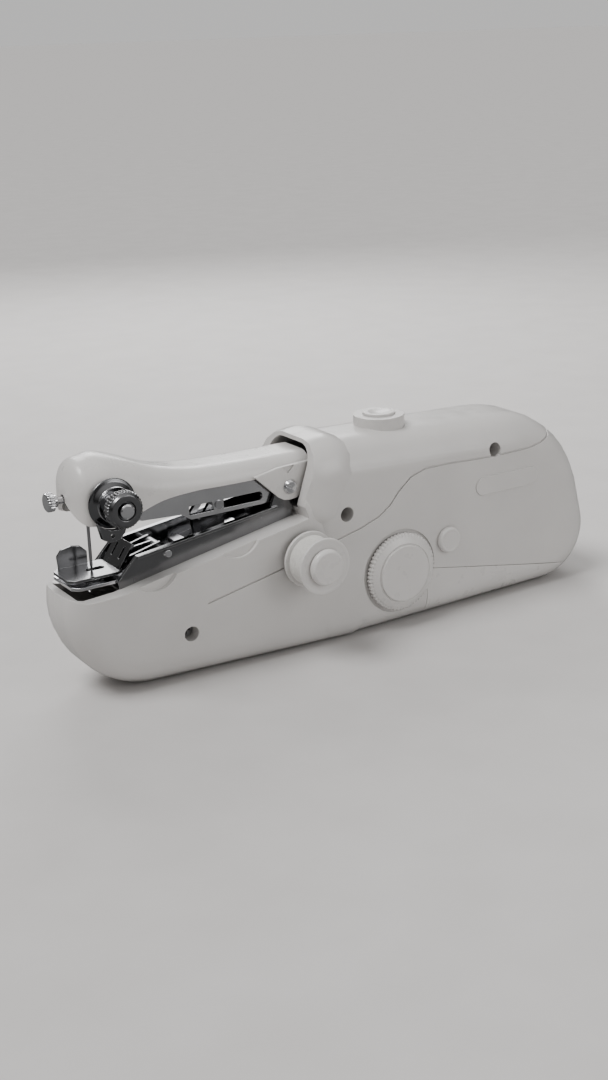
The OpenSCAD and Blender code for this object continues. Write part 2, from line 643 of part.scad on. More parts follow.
module arm_lever() color("Silver") difference() {
    side(-lever_out, lever_out) polygon(concat(lever_top, lever_bottom));
    side(-lever_in, lever_in) polygon([for (p = concat([[-130, 66]], lever_top,
            [[30, 56.9], [30, 20], [-130, 20]]))
        p - [0, sheet]]);
    rod(pivot_x, pivot_z, pivot_radius + fit, -clear, clear);
    rod(link_x, link_z, link_pin_r, -clear, clear);
    rod(cam_x, cam_z, cam_r, -clear, clear);
    rod(tension_x, tension_z, stud_r, -clear, 0);
    // Long window either side of the post that holds the cam pin
    side(-clear, 0) {
        translate([-60.6, 52.2]) square([8.8, 2.9]);
        translate([-48.2, 52.2]) square([12.8, 2.9]);
        translate([-35.4, 53.65]) circle(r = 1.45);
    }
}

module pivot_pin() color("Silver") difference() {
    union() {
        rod(pivot_x, pivot_z, pivot_radius, -11.3, 11.3);
        cone(pivot_x, pivot_z, 1.9, 2.5, -12.2, -11.3);
        rod(pivot_x, pivot_z, 2.4, 11.3, 12);
    }
    translate([pivot_x, 0, pivot_z]) rotate([0, 30, 0]) block([-3, -13, -0.35], [3, -11.8, 0.35]);
}

module cam_pin() color("Silver") {
    rod(cam_x, cam_z, cam_r, -lever_out - 0.45, lever_out);
    rod(cam_x, cam_z, 1.45, -lever_out - 0.45, -lever_out);
}

module link_pin() color("Silver") {
    rod(link_x, link_z, link_pin_r, -lever_out, lever_out);
    for (y = [lever_out, -lever_out - 0.6]) rod(link_x, link_z, 1.9, y, y + 0.6);
}

needle_shank_r = 1;
clamp_bottom = 57;

module needle_clamp() color("Silver") difference() {
    block([-94.6, -4, clamp_bottom], [-88.2, 4, 64.8]);
    translate([needle_x, 0, clamp_bottom - 1]) cylinder(r = needle_shank_r, h = 20);
    translate([-96, 0, thumb_z]) rotate([0, 90, 0]) cylinder(r = 1.2, h = 4.5);
}

module needle() color("Silver") difference() {
    union() {
        translate([needle_x, 0, 55]) cylinder(r = needle_shank_r, h = 9.6);
        translate([needle_x, 0, 53.6]) cylinder(r1 = needle_radius, r2 = needle_shank_r, h = 1.4 + eps);
        translate([needle_x, 0, 40.6]) cylinder(r = needle_radius, h = 13 + eps);
        translate([needle_x, 0, 38.4]) cylinder(r1 = 0.08, r2 = needle_radius, h = 2.2 + eps);
    }
    // Eye
    rod(needle_x, 41.9, 0.2, -3, 3);
}

module needle_screw() color("Silver") {
    translate([-101.6, 0, thumb_z]) rotate([0, 90, 0]) cylinder(r = 1.15, h = 9.05);
    translate([-104.6, 0, thumb_z]) rotate([0, 90, 0]) cylinder(r = thumb_radius, h = 2.4, $fn = 12);
    translate([-102.2 - eps, 0, thumb_z]) rotate([0, 90, 0]) cylinder(r = 1.9, h = 1.2);
}

// ---------------------------------------------------------------- thread tension, from the cover outward

base_y = -11.15;
disc_y = base_y - 2;
spring_y = disc_y - 1.3;
nut_y = -17.5;

module tension_base() color("DimGray") difference() {
    union() {
        cone(tension_x, tension_z, tension_base_radius - 2.2, tension_base_radius, disc_y, base_y - 0.5);
        rod(tension_x, tension_z, tension_base_radius, base_y - 0.5, base_y);
    }
    rod(tension_x, tension_z, stud_r, -clear, 0);
}

module tension_discs() color("Silver") difference() {
    union() {
        cone(tension_x, tension_z, 5.6, 4.6, disc_y - 0.6, disc_y - 0.1);
        cone(tension_x, tension_z, 4.6, 5.6, disc_y - 1.2, disc_y - 0.7);
    }
    rod(tension_x, tension_z, stud_r, -clear, 0);
}

module tension_spring() color("Silver") translate([tension_x, nut_y, tension_z]) rotate([-90, 0, 0])
    coil(2.6, 0.35, spring_y - nut_y, 3);

module tension_nut() color("DimGray") difference() {
    union() {
        grip(tension_x, tension_z, tension_nut_radius, tension_nut_teeth, 0.35, nut_y - 3, nut_y);
        cone(tension_x, tension_z, tension_nut_radius - 1.2, tension_nut_radius - 0.5, nut_y - 4,
            nut_y - 3 + eps);
    }
    rod(tension_x, tension_z, stud_r + fit, -clear, 0);
    rod(tension_x, tension_z, 2.9, -clear, nut_y - 3.4);
}

module tension_stud() color("Silver") {
    rod(tension_x, tension_z, stud_r, nut_y - 4, -lever_in);
    rod(tension_x, tension_z, 2.2, -lever_in, -lever_in + 1);
    cone(tension_x, tension_z, 1.9, 2.3, nut_y - 5, nut_y - 4 + eps);
}

module thread_guide() color("DimGray") difference() {
    side(disc_y - 0.05 - 0.6, base_y + 0.05 - 0.6) polygon([[-94.2, 58], [-92.8, 52.4], [-90.6, 51.2],
        [-87.4, 51.6], [-85.6, 53.4], [-84.8, 55.6], [-88, 56]]);
    rod(-89.6, 53.2, 0.7, -clear, 0);
    rod(tension_x, tension_z, tension_base_radius + 0.02, -clear, 0);
}

// ---------------------------------------------------------------- lower jaw

// A point of the side view, given in the frame of the seat.
function to_seat(x, z) = [(x - seat_x) * cos(seat_slope) + (z - seat_z) * sin(seat_slope),
    (z - seat_z) * cos(seat_slope) - (x - seat_x) * sin(seat_slope)];

rail_front = [10, 8.15];
rail_rear = [60.9, 5.36];

module lower_channel() color("DimGray") difference() {
    union() {
        on_seat() block([2, -channel_out, 0], [66, channel_out, sheet]);
        on_seat() for (s = [-1, 1]) {
            side(s > 0 ? channel_in : -channel_out, s > 0 ? channel_out : -channel_in)
                polygon([[2, 0], [2, 2.4], rail_front, rail_rear, [66, 5], [66, 0]]);
            // Lip rolled outward along the top of the wall
            side(s > 0 ? channel_in : -channel_out - 0.7, s > 0 ? channel_out + 0.7 : -channel_in)
                polygon([rail_front, rail_rear, rail_rear - [0, 0.9], rail_front - [0, 0.9]]);
        }
        // Lugs that carry the arm pivot
        for (s = [-1, 1]) side(s > 0 ? channel_in : -channel_out, s > 0 ? channel_out : -channel_in) {
            polygon([[-33.5, 46], [-24.4, 46.2], [-21.7, 54.6], [-28.9, 56.9]]);
            translate([pivot_x, pivot_z]) circle(r = 3.8);
        }
    }
    rod(pivot_x, pivot_z, pivot_radius, -clear, clear);
    rod(presser_x, presser_z, presser_pin_r, -clear, clear);
    on_seat() block([looper_slot[0], -looper_slot_half, -1], [looper_slot[1], looper_slot_half, 3]);
    on_seat() for (p = channel_screw_at) for (s = [-1, 1])
        translate([p[0], s * p[1], -1]) cylinder(r = channel_screw_r, h = 4);
}

module channel_screws() color("Silver") on_seat() for (p = channel_screw_at) for (s = [-1, 1]) {
    head = p[0] < 20 ? sheet + plate_t : sheet;
    translate([p[0], s * p[1], -6]) cylinder(r = channel_screw_r, h = 6 + head + eps);
    difference() {
        translate([p[0], s * p[1], head]) cylinder(r = 1.5, h = 0.9);
        translate([p[0], s * p[1], head + 0.9]) rotate([0, 0, 35]) cube([4, 0.4, 0.7], center = true);
    }
}

module needle_plate() color("Silver") difference() {
    union() {
        on_seat() block([4, -channel_in, sheet], [13, channel_in, sheet + plate_t]);
        difference() {
            block([plate_front_x, -channel_in, plate_z], [-84.2, channel_in, plate_z + plate_t]);
            for (s = [-1, 1]) translate([plate_front_x, s * channel_in, plate_z - 1]) rotate([0, 0, 45])
                cube([3, 3, 6], center = true);
        }
    }
    needle_slot(plate_z - 1, 1.2);
    on_seat() for (s = [-1, 1]) translate([channel_screw_at[0][0], s * channel_screw_at[0][1], 0])
        cylinder(r = channel_screw_r, h = 4);
}

// Slot that the leaning needle passes through; `half` is half of its width.
module needle_slot(z, half) {
    ends = [needle_x - 0.7, needle_x + 2.9];
    translate([0, 0, z]) linear_extrude(height = 3) {
        translate([ends[0], -half]) square([ends[1] - ends[0], 2 * half]);
        for (x = ends) translate([x, 0]) circle(r = half);
    }
}

sole_top = sole_z + sole_thickness;

module presser_foot() color("DimGray") difference() {
    union() {
        translate([0, 0, sole_z]) linear_extrude(height = sole_thickness)
            polygon([[-102, -5], [-100, -7], [-86, -7], [-84, -5.8], [-84, 5.8], [-86, 7], [-100, 7],
                [-102, 5]]);
        side(6.1, 7) polygon([[-99.6, sole_z], [-100, 43], [-98.4, 45], [-95, 45.6], [-92, 45], [-90, 43],
            [-90, sole_z]]);
        side(-5.8, 5.8)
            polygon([[-85.2, sole_z], [-84.1, sole_z], [-79.1, 45.8], [-79.9, 46.3], [-85.1, 38.9]]);
        for (s = [-1, 1]) side(s > 0 ? 3.6 : -4.5, s > 0 ? 4.5 : -3.6)
            polygon([[-88, sole_z], [-83, sole_z], [-72, 39.9], [-68.2, 40.6], [-67.6, 43.2], [-69.6, 44.7],
                [-72.5, 44], [-82.6, 41.6], [-84.4, sole_top], [-88, sole_top]]);
    }
    needle_slot(sole_z - 1, 1.3);
    rod(presser_x, presser_z, presser_pin_r + fit, -clear, clear);
    // Two slots in the lifting tab
    for (y = [-2.6, 2.6]) translate([-81.6, y, 42.4]) rotate([0, -33, 0]) cube([4, 0.9, 4.6], center = true);
    rod(-94.3, sole_top, 0.5, -7.5, -6.2);
}

module presser_pin() color("Silver") {
    rod(presser_x, presser_z, presser_pin_r, -channel_out, channel_out);
    for (s = [-1, 1]) cone(presser_x, presser_z, s > 0 ? 1.6 : 1.1, s > 0 ? 1.1 : 1.6,
        s > 0 ? channel_out : -channel_out - 0.7, s > 0 ? channel_out + 0.7 : -channel_out);
}

module presser_spring() color("Silver") {
    difference() {
        rod(presser_x, presser_z, 1.85, -3.4, 3.4);
        rod(presser_x, presser_z, 1.4, -5, 5);
    }
    side(-0.4, 0.4) polygon([[-70, 44.15], [-81, 42.9], [-81, 42.4], [-70, 43.7]]);
    side(2.75, 3.35) polygon([[-70, 40.8], [-62.8, 40.4], [-62.8, 40], [-70, 40.4]]);
}

module looper_slide() color("LightGray") on_seat() difference() {
    union() {
        block([17, -2.6, sheet + fit], [50, 2.6, 2.25]);
        side(-0.75, 0.75) polygon([[34.5, 2.2], [46, 2.2], [45.5, 14], [44, 15], [40.2, 15], [34.8, 10.5]]);
    }
    // Cam slot: the arm's pin runs down and forward in it as the needle goes down
    start = to_seat(cam_x, cam_z) + [0.15, 0.15];
    end = start - [4.35, 4.15];
    width = cam_r + 0.15;
    side(-5, 5) {
        translate(start) circle(r = width);
        translate(end) circle(r = width);
        strip([start, (start + end) / 2, end], 2 * width);
    }
}

module looper_guide() color("Silver") on_seat() difference() {
    block([27.8, -5.2, sheet], [31.2, 5.2, 3.2]);
    block([20, -2.65, 0], [40, 2.65, 2.3]);
}

module looper() color("Silver") difference() {
    under = -sheet - fit;
    side(0.9, 2.1) polygon([[-68.4, seat_at(-68.4, under)], [-71.2, seat_at(-71.2, under)], [-71.2, 32],
        [-72.4, 30.8], [-88.5, 30.8], [-90.4, 31.4], [-94.2, 33.4], [-91.8, 30.2], [-89.6, 28.6], [-70, 28.6],
        [-68.4, 30]]);
    rod(-92.2, 31.9, 0.4, -5, 5);
}

// ---------------------------------------------------------------- bobbin

module bobbin_spindle() color("Silver")
    rod(bobbin_x, bobbin_z, spindle_r, bobbin_y - bobbin_width - 1.6, spindle_end);

module bobbin_washer() color("DimGray") difference() {
    rod(bobbin_x, bobbin_z, 4.6, bobbin_y + 0.05, -half_width);
    rod(bobbin_x, bobbin_z, spindle_r, -clear, 0);
}

module bobbin() color("WhiteSmoke") {
    far = bobbin_y - bobbin_width;
    difference() {
        union() {
            rod(bobbin_x, bobbin_z, bobbin_radius, bobbin_y - flange_t, bobbin_y);
            rod(bobbin_x, bobbin_z, bobbin_radius, far, far + flange_t);
            rod(bobbin_x, bobbin_z, hub_r, far, bobbin_y);
        }
        rod(bobbin_x, bobbin_z, spindle_r + fit, far - 1, 0);
    }
}

module bobbin_thread() color("White") difference() {
    rod(bobbin_x, bobbin_z, bobbin_radius - 1.2, bobbin_y - bobbin_width + flange_t, bobbin_y - flange_t);
    rod(bobbin_x, bobbin_z, hub_r, -clear, 0);
}

module bobbin_cap() color("WhiteSmoke") {
    back = bobbin_y - bobbin_width - 0.05;
    difference() {
        union() {
            rod(bobbin_x, bobbin_z, bobbin_cap_radius, back - 1.5, back);
            cone(bobbin_x, bobbin_z, bobbin_cap_radius - 0.7, bobbin_cap_radius, back - 2.2,
                back - 1.5 + eps);
        }
        rod(bobbin_x, bobbin_z, spindle_r, back - 1.55, 0);
    }
}

left_housing();
right_housing();
battery_cover();
housing_screws();
power_button();
button_spring();
switch_body();
adapter_jack();
jack_cap();
batteries();
battery_contacts();
battery_springs();
wires();
motor_body();
motor_shaft();
motor_pinion();
reduction_gear();
gear_axle();
main_gear();
drive_shaft();
shaft_bush();
gear_frame();
frame_screws();
crank_disc();
hand_wheel();
connecting_link();
arm_cover();
arm_lever();
pivot_pin();
cam_pin();
link_pin();
needle_clamp();
needle();
needle_screw();
tension_base();
tension_discs();
tension_spring();
tension_nut();
tension_stud();
thread_guide();
lower_channel();
channel_screws();
needle_plate();
presser_foot();
presser_pin();
presser_spring();
looper_slide();
looper_guide();
looper();
bobbin_spindle();
bobbin_washer();
bobbin();
bobbin_thread();
bobbin_cap();
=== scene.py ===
"""Hand-held battery sewing machine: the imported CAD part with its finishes, its rounded and knurled
pieces rebuilt as fine meshes, on a pale floor in soft studio light."""
import json
import math

import bmesh
import bpy
from mathutils import Matrix, Vector
from mathutils.bvhtree import BVHTree
from mathutils.interpolate import poly_3d_calc


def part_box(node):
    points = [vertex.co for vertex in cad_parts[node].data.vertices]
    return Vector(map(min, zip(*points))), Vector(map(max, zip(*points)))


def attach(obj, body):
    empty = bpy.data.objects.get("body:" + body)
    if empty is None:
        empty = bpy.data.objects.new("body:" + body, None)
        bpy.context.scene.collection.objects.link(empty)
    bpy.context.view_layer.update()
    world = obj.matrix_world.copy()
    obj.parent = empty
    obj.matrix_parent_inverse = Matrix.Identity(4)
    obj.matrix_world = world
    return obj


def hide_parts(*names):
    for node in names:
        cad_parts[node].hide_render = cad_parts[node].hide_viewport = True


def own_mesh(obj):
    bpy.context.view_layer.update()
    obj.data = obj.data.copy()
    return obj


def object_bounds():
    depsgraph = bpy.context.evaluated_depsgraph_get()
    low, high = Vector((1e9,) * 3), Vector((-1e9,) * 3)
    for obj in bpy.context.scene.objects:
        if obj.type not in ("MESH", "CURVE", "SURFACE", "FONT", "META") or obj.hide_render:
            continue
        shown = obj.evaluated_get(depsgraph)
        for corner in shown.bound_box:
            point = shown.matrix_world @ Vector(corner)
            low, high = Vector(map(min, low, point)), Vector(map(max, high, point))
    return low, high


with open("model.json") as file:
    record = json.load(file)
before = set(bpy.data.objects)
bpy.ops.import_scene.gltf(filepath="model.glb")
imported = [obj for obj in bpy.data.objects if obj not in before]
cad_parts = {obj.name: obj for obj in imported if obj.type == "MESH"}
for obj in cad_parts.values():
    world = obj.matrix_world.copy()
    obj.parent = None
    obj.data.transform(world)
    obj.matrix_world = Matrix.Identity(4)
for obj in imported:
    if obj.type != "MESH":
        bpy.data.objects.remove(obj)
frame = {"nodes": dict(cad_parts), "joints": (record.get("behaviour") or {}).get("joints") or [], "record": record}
cad_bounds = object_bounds()
nodes = frame["nodes"]
record = frame["record"]

MM = 0.001
SHARP_ANGLE = math.radians(32)

# ------------------------------------------------------------------ materials

class Graph:
    """Short hand for building a node tree."""

    def __init__(self, name):
        self.material = bpy.data.materials.new(name)
        self.material.use_nodes = True
        self.tree = self.material.node_tree
        self.shader = self.tree.nodes["Principled BSDF"]
        self.coords = self.tree.nodes.new("ShaderNodeTexCoord").outputs["Object"]

    def add(self, kind, inputs=None, **settings):
        node = self.tree.nodes.new(kind)
        for key, value in settings.items():
            setattr(node, key, value)
        for key, value in (inputs or {}).items():
            self.put(node.inputs[key], value)
        return node

    def put(self, socket, value):
        if isinstance(value, bpy.types.NodeSocket):
            self.tree.links.new(value, socket)
        else:
            socket.default_value = value

    def noise(self, scale, detail=3.0, stretch=(1, 1, 1)):
        mapping = self.add("ShaderNodeMapping", {"Vector": self.coords, "Scale": stretch})
        node = self.add("ShaderNodeTexNoise",
                        {"Vector": mapping.outputs[0], "Scale": scale, "Detail": detail})
        return node.outputs["Fac"]

    def ramp(self, value, low, high, to_low=0.0, to_high=1.0):
        node = self.add("ShaderNodeMapRange", {"Value": value, "From Min": low, "From Max": high,
                                               "To Min": to_low, "To Max": to_high})
        return node.outputs[0]

    def mix(self, fac, a, b):
        node = self.add("ShaderNodeMix", data_type="RGBA")
        self.put(node.inputs[0], fac)
        self.put(node.inputs[6], a)
        self.put(node.inputs[7], b)
        return node.outputs[2]

    def edge_mask(self, radius):
        """1 along edges, 0 on open faces."""
        rounded = self.add("ShaderNodeBevel", {"Radius": radius}, samples=4)
        plain = self.add("ShaderNodeNewGeometry")
        dot = self.add("ShaderNodeVectorMath", operation="DOT_PRODUCT")
        self.put(dot.inputs[0], rounded.outputs[0])
        self.put(dot.inputs[1], plain.outputs["Normal"])
        return self.ramp(dot.outputs["Value"], 0.995, 0.85)

    def bump(self, height, strength, distance, bevel=None):
        node = self.add("ShaderNodeBump", {"Height": height, "Strength": strength, "Distance": distance})
        if bevel:
            rounded = self.add("ShaderNodeBevel", {"Radius": bevel}, samples=4)
            self.put(node.inputs["Normal"], rounded.outputs[0])
        self.put(self.shader.inputs["Normal"], node.outputs[0])


def rgba(color, gain=1.0):
    return tuple(min(1.0, c * gain) for c in color[:3]) + (1.0,)


def moulded(name, color, rough, grain=0.12, wear=1.1, coat=0.0):
    """Moulded plastic: faint cloudiness, fine spark-eroded grain, edges rubbed smoother and lighter."""
    g = Graph(name)
    cloud = g.ramp(g.noise(38, 4), 0.3, 0.7)
    body = g.mix(cloud, rgba(color, 0.95), rgba(color, 1.02))
    edge = g.edge_mask(0.0007)
    g.put(g.shader.inputs["Base Color"], g.mix(edge, body, rgba(color, wear)))
    scuff = g.ramp(g.noise(210, 6), 0.35, 0.75, rough - 0.06, rough + 0.1)
    g.put(g.shader.inputs["Roughness"], scuff)
    g.put(g.shader.inputs["Coat Weight"], coat)
    g.put(g.shader.inputs["Coat Roughness"], 0.25)
    g.bump(g.noise(2600, 2), grain, 0.00005, bevel=0.00035)
    return g.material


def plated(name, color, rough, streak=(1, 1, 1), smear=0.12, wear=1.25):
    """Bright or brushed metal: smudged gloss, rolling marks along `streak`, polished edges."""
    g = Graph(name)
    haze = g.ramp(g.noise(60, 5), 0.3, 0.75)
    body = g.mix(haze, rgba(color, 0.86), rgba(color, 1.05))
    edge = g.edge_mask(0.0003)
    g.put(g.shader.inputs["Base Color"], g.mix(edge, body, rgba(color, wear)))
    g.put(g.shader.inputs["Metallic"], 1.0)
    smudge = g.ramp(g.noise(150, 6), 0.35, 0.75, rough, rough + smear)
    g.put(g.shader.inputs["Roughness"], smudge)
    g.bump(g.noise(900, 3, streak), 0.1, 0.00004, bevel=0.0002)
    return g.material


def fibrous(name, color, scale, strength):
    """Felt or wound thread: matt, with a fibre bump and a soft sheen."""
    g = Graph(name)
    fibre = g.noise(scale, 6, (1, 3, 1))
    g.put(g.shader.inputs["Base Color"], g.mix(fibre, rgba(color, 0.75), rgba(color, 1.08)))
    g.put(g.shader.inputs["Roughness"], 0.9)
    g.put(g.shader.inputs["Sheen Weight"], 0.4)
    g.bump(fibre, strength, 0.0002)
    return g.material


MATERIALS = {
    "white_shell": moulded("white_shell", (0.66, 0.645, 0.63), 0.34, coat=0.12),
    "white_cover": moulded("white_cover", (0.69, 0.675, 0.66), 0.32, coat=0.1),
    "black_plastic": moulded("black_plastic", (0.025, 0.025, 0.028), 0.45, wear=2.5),
    "gear_plastic": moulded("gear_plastic", (0.82, 0.79, 0.68), 0.42),
    "cell_wrap": moulded("cell_wrap", (0.05, 0.09, 0.16), 0.3, wear=1.6),
    "wire_insulation": moulded("wire_insulation", (0.42, 0.03, 0.025), 0.4),
    "chrome": plated("chrome", (0.72, 0.72, 0.73), 0.1),
    "dark_chrome": plated("dark_chrome", (0.26, 0.26, 0.265), 0.17, wear=2.2),
    "steel": plated("steel", (0.5, 0.5, 0.51), 0.3, (1, 12, 1)),
    "spring_steel": plated("spring_steel", (0.42, 0.42, 0.43), 0.26),
    "bronze": plated("bronze", (0.5, 0.33, 0.16), 0.42),
    "thread": fibrous("thread", (0.8, 0.79, 0.76), 1500, 0.6),
    "felt": fibrous("felt", (0.05, 0.05, 0.055), 900, 0.8),
}


def paint(obj, slot):
    obj.data.materials.clear()
    obj.data.materials.append(MATERIALS[slot])


slot_of = {part["node"]: part["material_slot"] for part in record["subparts"]}


def shade(obj):
    """Smooth faces, with edges sharper than SHARP_ANGLE kept crisp."""
    obj.data.polygons.foreach_set("use_smooth", [True] * len(obj.data.polygons))
    bm = bmesh.new()
    bm.from_mesh(obj.data)
    for edge in bm.edges:
        edge.smooth = len(edge.link_faces) == 2 and edge.calc_face_angle(0) < SHARP_ANGLE
    bm.to_mesh(obj.data)
    bm.free()


for name, node in nodes.items():
    paint(node, slot_of[name])
    node.data.polygons.foreach_set("use_smooth", [True] * len(node.data.polygons))
    flat = node.modifiers.new("even_faces", "WEIGHTED_NORMAL")
    flat.keep_sharp = True

# ------------------------------------------------------------------ building pieces

X_AXIS, Y_AXIS, Z_AXIS = Vector((1, 0, 0)), Vector((0, 1, 0)), Vector((0, 0, 1))


def place(name, node, body, verts, faces):
    """New piece from points and faces: finished like `node`, riding on `body`, standing for `node`."""
    mesh = bpy.data.meshes.new(name)
    mesh.from_pydata([tuple(v) for v in verts], [], faces)
    obj = bpy.data.objects.new(name, mesh)
    bpy.context.scene.collection.objects.link(obj)
    bm = bmesh.new()
    bm.from_mesh(mesh)
    bmesh.ops.remove_doubles(bm, verts=bm.verts, dist=1e-7)
    bmesh.ops.recalc_face_normals(bm, faces=bm.faces)
    bm.to_mesh(mesh)
    bm.free()
    if node:
        finish(obj, node, body)
    return obj


def finish(obj, node, body):
    paint(obj, slot_of[node])
    shade(obj)
    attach(obj, body)
    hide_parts(node)


def soften(points, radius, steps=4):
    """Closed outline with each corner off the axis cut back by up to `radius` and rounded."""
    out = []
    count = len(points)
    for i, point in enumerate(points):
        p = Vector(point)
        before = Vector(points[i - 1]) - p
        after = Vector(points[(i + 1) % count]) - p
        if p.x == 0:
            out.append(p)
            continue
        cut = min(radius, before.length * 0.45, after.length * 0.45)
        start = p + before.normalized() * cut
        end = p + after.normalized() * cut
        for k in range(steps + 1):
            t = k / steps
            out.append(start * (1 - t) ** 2 + p * 2 * t * (1 - t) + end * t ** 2)
    return out


def turned(name, node, body, centre, outward, outline, segments=96, ripple=None):
    """Piece turned on a lathe. The outline holds (radius, distance outward); points at radius 0 are on the
    axis. ripple(radius, distance, angle) adds to the radius."""
    side = Y_AXIS.cross(outward) if abs(outward.y) < 0.5 else X_AXIS
    other = outward.cross(side)
    verts, faces, rings = [], [], []
    for radius, along in outline:
        if radius == 0:
            rings.append([len(verts)])
            verts.append(centre + outward * along)
            continue
        ring = []
        for k in range(segments):
            angle = 2 * math.pi * k / segments
            r = radius + (ripple(radius, along, angle) if ripple else 0)
            ring.append(len(verts))
            verts.append(centre + outward * along + (side * math.cos(angle) + other * math.sin(angle)) * r)
        rings.append(ring)
    for i, ring in enumerate(rings):
        nxt = rings[(i + 1) % len(rings)]
        for k in range(segments):
            a, b = ring[k % len(ring)], ring[(k + 1) % len(ring)]
            c, d = nxt[(k + 1) % len(nxt)], nxt[k % len(nxt)]
            face = list(dict.fromkeys((a, b, c, d)))
            if len(face) > 2:
                faces.append(face)
    return place(name, node, body, verts, faces)


def coil(name, node, body, centre, outward, radius, wire, length, turns, sides=10, per_turn=28):
    """Spring wound round an axis, with its last half turn at each end closed up."""
    side = Y_AXIS.cross(outward) if abs(outward.y) < 0.5 else X_AXIS
    other = outward.cross(side)
    steps = int(per_turn * turns)
    verts, faces = [], []
    for i in range(steps + 1):
        angle = 2 * math.pi * i / per_turn
        t = i / steps
        closed = 0.5 / turns
        climb = 0 if t < closed else 1 if t > 1 - closed else (t - closed) / (1 - 2 * closed)
        ease = 0.12 * t + 0.88 * climb
        spoke = side * math.cos(angle) + other * math.sin(angle)
        heart = centre + outward * (wire + ease * (length - 2 * wire)) + spoke * radius
        for k in range(sides):
            turn = 2 * math.pi * k / sides
            verts.append(heart + (spoke * math.cos(turn) + outward * math.sin(turn)) * wire)
    for i in range(steps):
        for k in range(sides):
            a, b = i * sides + k, i * sides + (k + 1) % sides
            faces.append((a, b, b + sides, a + sides))
    faces.append(tuple(range(sides)))
    faces.append(tuple(steps * sides + k for k in reversed(range(sides))))
    return place(name, node, body, verts, faces)


def knurl(limit, teeth, depth):
    """Ripple that cuts rounded grip teeth into everything beyond radius `limit`."""
    def cut(radius, along, angle):
        return -depth * (0.5 + 0.5 * math.cos(teeth * angle)) ** 1.6 if radius > limit else 0
    return cut


def centre_of(node):
    low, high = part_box(node)
    return (low + high) / 2


def face_of(node, outward):
    """Middle of the box face of a node that `outward` leads away from, and the node's depth along it."""
    low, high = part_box(node)
    mid = (low + high) / 2
    depth = abs((high - low).dot(outward))
    return mid - outward * depth / 2, depth


def joined(obj, other, operation):
    """Adds or cuts away `other`, which is used up."""
    step = obj.modifiers.new(operation.lower(), "BOOLEAN")
    step.operation = operation
    step.solver = "EXACT"
    step.object = other
    bpy.context.view_layer.update()
    mesh = bpy.data.meshes.new_from_object(obj.evaluated_get(bpy.context.evaluated_depsgraph_get()))
    obj.modifiers.remove(step)
    obj.data = mesh
    bpy.data.objects.remove(other)


def slab(outline, y0, y1, bevel=0.0):
    """Plate between y0 and y1 with an outline of (x, z) points."""
    count = len(outline)
    verts = [(x, y, z) for y in (y0, y1) for x, z in outline]
    faces = [tuple(range(count)), tuple(reversed(range(count, 2 * count)))]
    faces += [(i, (i + 1) % count, (i + 1) % count + count, i + count) for i in range(count)]
    obj = place("slab", None, None, verts, faces)
    if bevel:
        bm = bmesh.new()
        bm.from_mesh(obj.data)
        bmesh.ops.bevel(bm, geom=bm.edges, offset=bevel, segments=3, profile=0.5, affect="EDGES")
        bm.to_mesh(obj.data)
        bm.free()
    return obj


def bar(centre, outward, radius, length):
    """Round bar used to cut holes."""
    return turned("bar", None, None, centre, outward,
                  [(0, -length / 2), (radius, -length / 2), (radius, length / 2), (0, length / 2)], 48)

# ------------------------------------------------------------------ round pieces on the wheel side

OUT = -Y_AXIS
SPINDLE_BORE = 1.62 * MM


def round_piece(node):
    """Middle of the inner face, depth and radius of a round node on the wheel side."""
    low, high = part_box(node)
    return *face_of(node, OUT), (high.x - low.x) / 2


def build_hand_wheel():
    base, depth, rim = round_piece("hand_wheel")
    face = rim * 0.72
    outline = soften([(0, 0.1 * depth), (rim * 0.2, 0.1 * depth), (rim * 0.3, 0), (rim, 0),
                      (rim, 0.44 * depth), (rim * 0.95, 0.5 * depth), (face * 1.05, 0.84 * depth),
                      (face * 1.045, 0.78 * depth), (face, 0.78 * depth), (face, depth),
                      (face * 0.86, 0.985 * depth), (0, 0.97 * depth)], 0.5 * MM)
    turned("hand_wheel_grip", "hand_wheel", "wheel", base, OUT, outline, 480,
           knurl(rim * 0.93, 60, 0.45 * MM))


def build_bobbin():
    base, depth, flange = round_piece("bobbin")
    hub, bore, plate = 4 * MM, 1.65 * MM, 1.1 * MM
    outline = soften([(bore, 0), (flange - 1.3 * MM, 0.15 * MM), (flange - 0.9 * MM, 0), (flange, 0),
                      (flange, plate), (hub, plate * 0.85), (hub, depth - plate * 0.85),
                      (flange, depth - plate), (flange, depth), (flange - 0.9 * MM, depth),
                      (flange - 1.3 * MM, depth - 0.15 * MM), (bore, depth)], 0.3 * MM)
    turned("bobbin_spool", "bobbin", "bobbin", base, OUT, outline, 128)


def build_bobbin_thread():
    base, depth, full = round_piece("bobbin_thread")
    wound = full - 0.1 * MM
    core, pitch, samples = 4.05 * MM, 0.42 * MM, 130
    rows = [(wound - 0.25 * MM * math.sin(math.pi * i / samples) ** 8, depth * i / samples)
            for i in range(samples + 1)]
    outline = [(core, 0)] + rows + [(core, depth)]

    def winding(radius, along, angle):
        lap = 2 * math.pi * along / pitch + angle
        return (0.09 * math.cos(lap) + 0.05 * math.sin(0.37 * lap + 3 * angle)) * MM if radius > core else 0
    turned("bobbin_winding", "bobbin_thread", "bobbin", base, OUT, outline, 120, winding)


